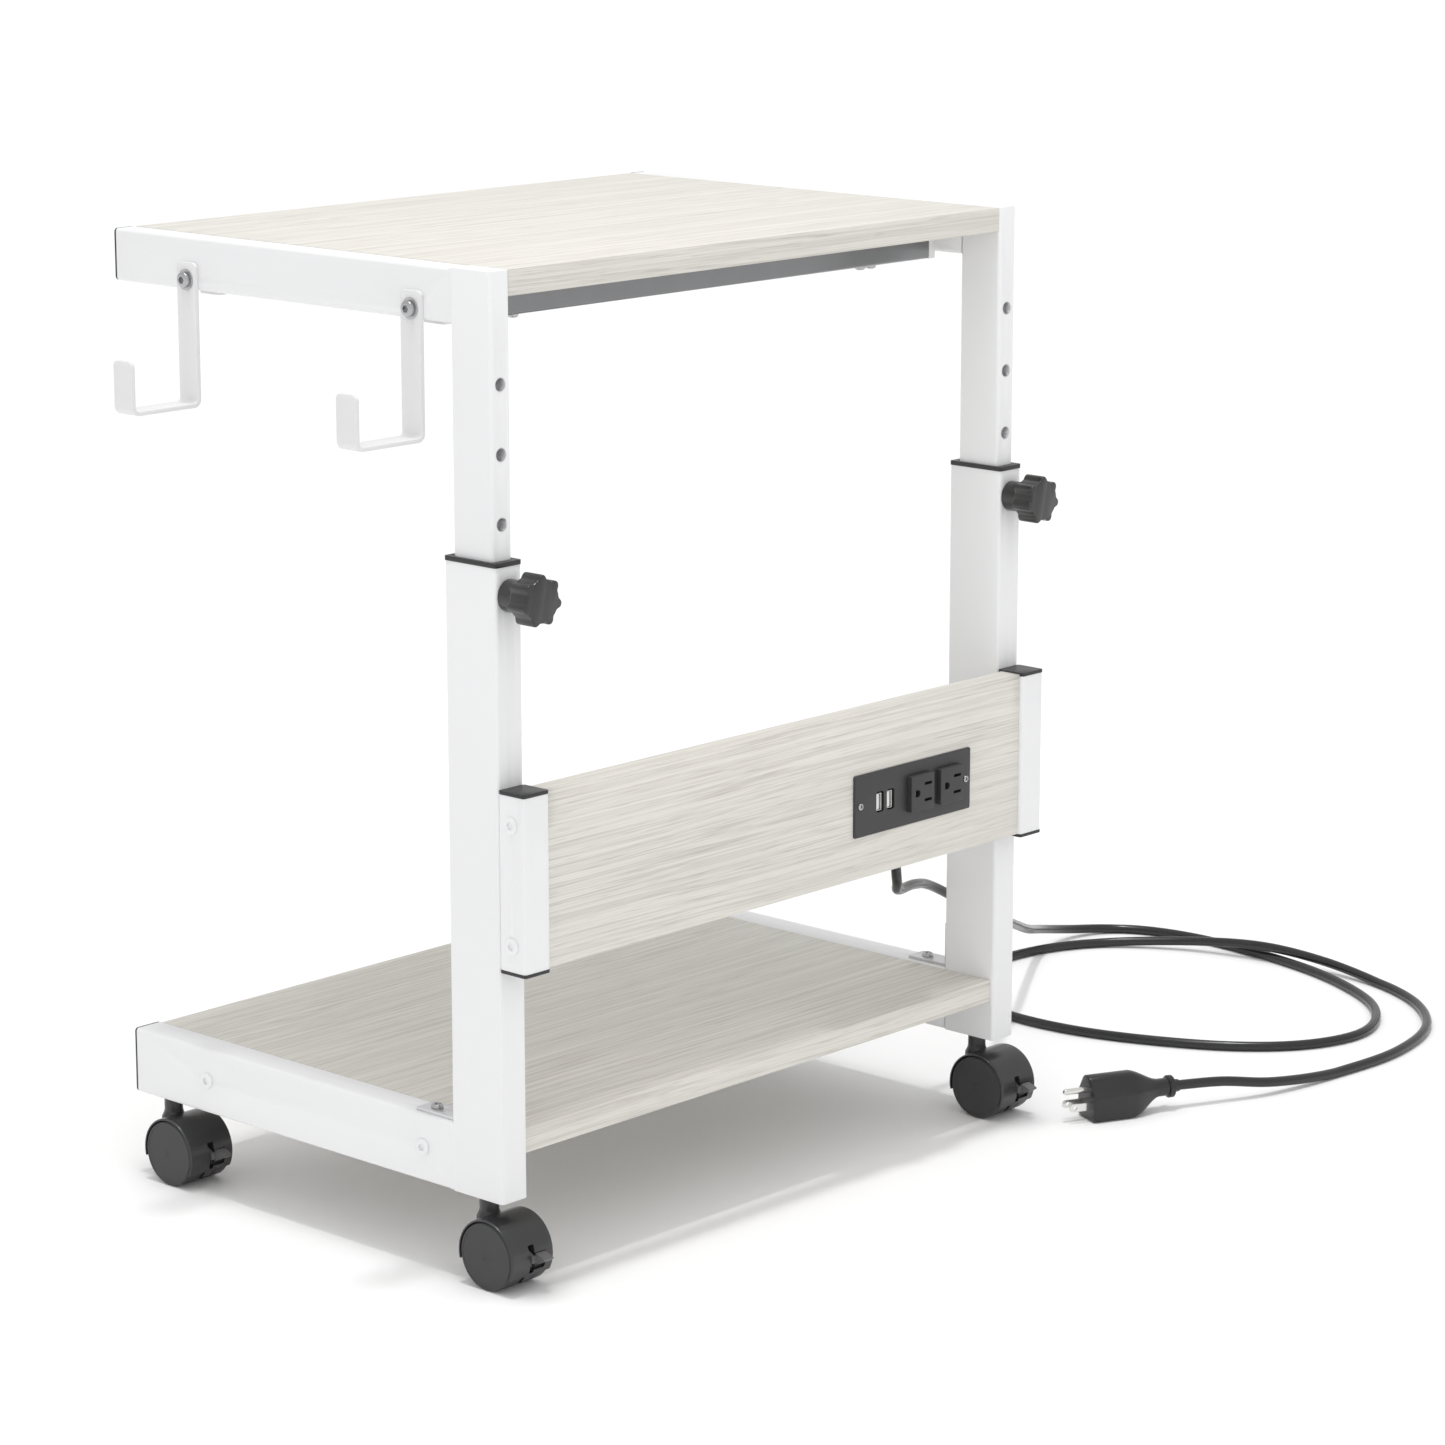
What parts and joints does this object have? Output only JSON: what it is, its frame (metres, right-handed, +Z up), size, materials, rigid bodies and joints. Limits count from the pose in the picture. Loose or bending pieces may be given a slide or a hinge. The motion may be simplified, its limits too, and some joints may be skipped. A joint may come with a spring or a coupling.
{
  "type": "computer tower stand",
  "caption": "Mobile stand with a lower shelf for a computer tower, a height-adjustable top shelf, side hooks, a front panel with outlets, and braked swivel casters.",
  "frame": {"origin": "on the floor, under the middle of the stand without its cord", "axes": "+X across the two side frames towards the power unit's side, +Y from the front legs to the open rear, +Z up"},
  "size_m": [1.134, 0.5394, 0.7185],
  "materials": {
    "powder_coat_white": "satin white powder coat",
    "hook_white": "satin off-white powder coat",
    "crossbar_steel": "satin grey steel",
    "crossbar_end_white": "white painted steel",
    "oak_laminate": "whitewashed oak laminate",
    "black_cap": "satin black",
    "brace_steel": "light grey",
    "screw_steel": "bright zinc",
    "power_plastic": "charcoal",
    "contact_brass": "brass",
    "usb_steel": "nickel",
    "usb_white": "white",
    "cord_black": "satin black PVC",
    "blade_metal": "nickel",
    "knob_black": "semi-gloss black",
    "socket_plastic": "grey nylon",
    "caster_plastic": "charcoal nylon",
    "caster_wheel": "charcoal nylon",
    "brake_grey": "grey nylon",
    "caster_steel": "plated steel"
  },
  "bodies": {
    "base": {"lower_legs": "powder_coat_white", "base_rails": "powder_coat_white", "guide_collars": "black_cap", "base_rail_caps": "black_cap", "bottom_board": "oak_laminate", "base_crossbars": "powder_coat_white", "base_bolts": "powder_coat_white", "panel_posts": "powder_coat_white", "panel_post_caps": "black_cap", "front_panel": "oak_laminate", "panel_screws": "powder_coat_white", "power_faceplate": "power_plastic", "power_housing": "power_plastic", "outlet_blocks": "power_plastic", "outlet_contacts": "contact_brass", "usb_shells": "usb_steel", "usb_tongues": "usb_white", "faceplate_screws": "screw_steel", "cord_strain_relief": "cord_black", "power_cord": "cord_black", "plug_body": "cord_black", "plug_blades": "blade_metal", "corner_braces": "brace_steel", "brace_screws": "screw_steel", "knob_bushes": "screw_steel", "caster_sockets": "socket_plastic"},
    "upper_frame": {"upper_legs": "powder_coat_white", "top_rails": "powder_coat_white", "top_rail_caps": "black_cap", "top_board": "oak_laminate", "top_crossbars": "crossbar_steel", "crossbar_ends": "crossbar_end_white", "crossbar_screws": "screw_steel", "accessory_hooks": "hook_white", "hook_bolts": "screw_steel", "inner_leg_glides": "socket_plastic"},
    "left_stud": {"left_knob_stud": "screw_steel"},
    "left_grip": {"left_knob_grip": "knob_black"},
    "right_stud": {"right_knob_stud": "screw_steel"},
    "right_grip": {"right_knob_grip": "knob_black"},
    "front_left_caster": {"front_left_caster_hood": "caster_plastic", "front_left_caster_stem": "caster_steel"},
    "front_left_wheel_outer": {"front_left_wheel_outer": "caster_wheel"},
    "front_left_wheel_inner": {"front_left_wheel_inner": "caster_wheel"},
    "front_left_brake": {"front_left_brake": "brake_grey"},
    "rear_left_caster": {"rear_left_caster_hood": "caster_plastic", "rear_left_caster_stem": "caster_steel"},
    "rear_left_wheel_outer": {"rear_left_wheel_outer": "caster_wheel"},
    "rear_left_wheel_inner": {"rear_left_wheel_inner": "caster_wheel"},
    "rear_left_brake": {"rear_left_brake": "brake_grey"},
    "front_right_caster": {"front_right_caster_hood": "caster_plastic", "front_right_caster_stem": "caster_steel"},
    "front_right_wheel_outer": {"front_right_wheel_outer": "caster_wheel"},
    "front_right_wheel_inner": {"front_right_wheel_inner": "caster_wheel"},
    "front_right_brake": {"front_right_brake": "brake_grey"},
    "rear_right_caster": {"rear_right_caster_hood": "caster_plastic", "rear_right_caster_stem": "caster_steel"},
    "rear_right_wheel_outer": {"rear_right_wheel_outer": "caster_wheel"},
    "rear_right_wheel_inner": {"rear_right_wheel_inner": "caster_wheel"},
    "rear_right_brake": {"rear_right_brake": "brake_grey"}
  },
  "joints": [
    {"name": "frame_height", "type": "slide", "parent": "base", "child": "upper_frame", "axis": [0, 0, 1], "range_m": [-0.144, 0.096]},
    {"name": "left_knob_screw", "type": "slide", "parent": "base", "child": "left_stud", "axis": [0, -1, 0], "range_m": [0, 0.005]},
    {"name": "left_knob_turn", "type": "hinge", "parent": "left_stud", "child": "left_grip", "pos_m": [-0.244, -0.19585, 0.4975], "axis": [0, -1, 0], "range_deg": [0, 1440]},
    {"name": "right_knob_screw", "type": "slide", "parent": "base", "child": "right_stud", "axis": [0, -1, 0], "range_m": [0, 0.005]},
    {"name": "right_knob_turn", "type": "hinge", "parent": "right_stud", "child": "right_grip", "pos_m": [0.297, -0.19585, 0.4975], "axis": [0, -1, 0], "range_deg": [0, 1440]},
    {"name": "front_left_swivel", "type": "hinge", "parent": "base", "child": "front_left_caster", "pos_m": [-0.244, -0.15485, 0.0635], "axis": [0, 0, 1], "continuous": true},
    {"name": "front_left_outer_roll", "type": "hinge", "parent": "front_left_caster", "child": "front_left_wheel_outer", "pos_m": [-0.244, -0.17085, 0.025], "axis": [1, 0, 0], "continuous": true},
    {"name": "front_left_inner_roll", "type": "hinge", "parent": "front_left_caster", "child": "front_left_wheel_inner", "pos_m": [-0.244, -0.17085, 0.025], "axis": [1, 0, 0], "continuous": true},
    {"name": "front_left_brake_press", "type": "hinge", "parent": "front_left_caster", "child": "front_left_brake", "pos_m": [-0.244, -0.18585, 0.03], "axis": [1, 0, 0], "range_deg": [0, 15]},
    {"name": "rear_left_swivel", "type": "hinge", "parent": "base", "child": "rear_left_caster", "pos_m": [-0.244, 0.18615, 0.0635], "axis": [0, 0, 1], "continuous": true},
    {"name": "rear_left_outer_roll", "type": "hinge", "parent": "rear_left_caster", "child": "rear_left_wheel_outer", "pos_m": [-0.244, 0.17015, 0.025], "axis": [1, 0, 0], "continuous": true},
    {"name": "rear_left_inner_roll", "type": "hinge", "parent": "rear_left_caster", "child": "rear_left_wheel_inner", "pos_m": [-0.244, 0.17015, 0.025], "axis": [1, 0, 0], "continuous": true},
    {"name": "rear_left_brake_press", "type": "hinge", "parent": "rear_left_caster", "child": "rear_left_brake", "pos_m": [-0.244, 0.15515, 0.03], "axis": [1, 0, 0], "range_deg": [0, 15]},
    {"name": "front_right_swivel", "type": "hinge", "parent": "base", "child": "front_right_caster", "pos_m": [0.297, -0.15485, 0.0635], "axis": [0, 0, 1], "continuous": true},
    {"name": "front_right_outer_roll", "type": "hinge", "parent": "front_right_caster", "child": "front_right_wheel_outer", "pos_m": [0.297, -0.17085, 0.025], "axis": [1, 0, 0], "continuous": true},
    {"name": "front_right_inner_roll", "type": "hinge", "parent": "front_right_caster", "child": "front_right_wheel_inner", "pos_m": [0.297, -0.17085, 0.025], "axis": [1, 0, 0], "continuous": true},
    {"name": "front_right_brake_press", "type": "hinge", "parent": "front_right_caster", "child": "front_right_brake", "pos_m": [0.297, -0.18585, 0.03], "axis": [1, 0, 0], "range_deg": [0, 15]},
    {"name": "rear_right_swivel", "type": "hinge", "parent": "base", "child": "rear_right_caster", "pos_m": [0.297, 0.18615, 0.0635], "axis": [0, 0, 1], "continuous": true},
    {"name": "rear_right_outer_roll", "type": "hinge", "parent": "rear_right_caster", "child": "rear_right_wheel_outer", "pos_m": [0.297, 0.17015, 0.025], "axis": [1, 0, 0], "continuous": true},
    {"name": "rear_right_inner_roll", "type": "hinge", "parent": "rear_right_caster", "child": "rear_right_wheel_inner", "pos_m": [0.297, 0.17015, 0.025], "axis": [1, 0, 0], "continuous": true},
    {"name": "rear_right_brake_press", "type": "hinge", "parent": "rear_right_caster", "child": "rear_right_brake", "pos_m": [0.297, 0.15515, 0.03], "axis": [1, 0, 0], "range_deg": [0, 15]}
  ],
  "couplings": [
    {"joint": "left_knob_screw", "follows": "left_knob_turn", "m_per_rad": 0.00019894},
    {"joint": "right_knob_screw", "follows": "right_knob_turn", "m_per_rad": 0.00019894}
  ]
}
